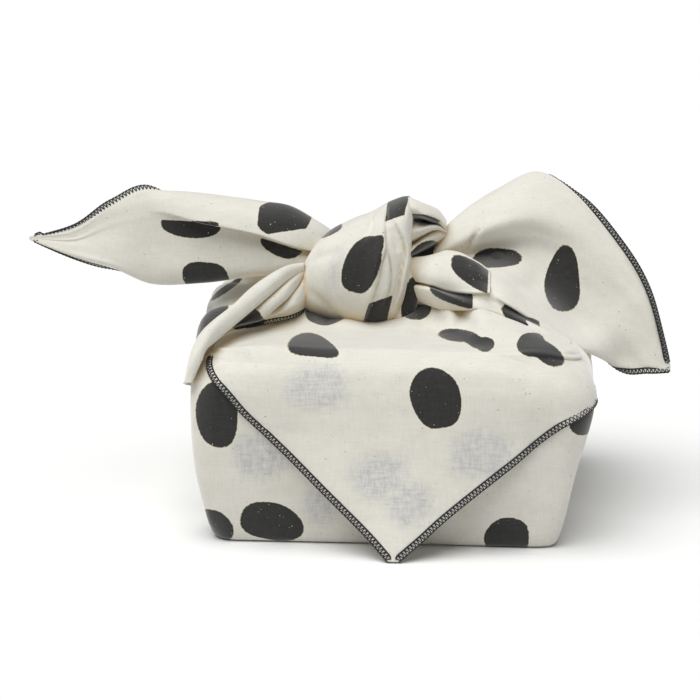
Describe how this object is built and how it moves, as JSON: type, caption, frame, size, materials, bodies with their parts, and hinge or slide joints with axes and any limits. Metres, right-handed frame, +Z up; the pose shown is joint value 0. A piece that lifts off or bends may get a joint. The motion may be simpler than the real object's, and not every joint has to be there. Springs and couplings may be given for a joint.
{
  "type": "furoshiki wrap",
  "caption": "Square cotton cloth folded round a box-shaped parcel and tied in a knot on top, with two free corners and a hanging front point.",
  "frame": {"origin": "centre of the parcel's flat base, on the surface it stands on", "axes": "+X to the right as seen from the front, along the line between the two free corners; +Y from the front to the back; +Z up; the hanging point is on the -Y side"},
  "size_m": [0.3214, 0.2018, 0.1658],
  "materials": {
    "printed_cotton": "unbleached plain-weave cotton with black printed spots and a dark overlocked edge"
  },
  "bodies": {
    "root": {"furoshiki_cloth": "printed_cotton"}
  },
  "joints": []
}
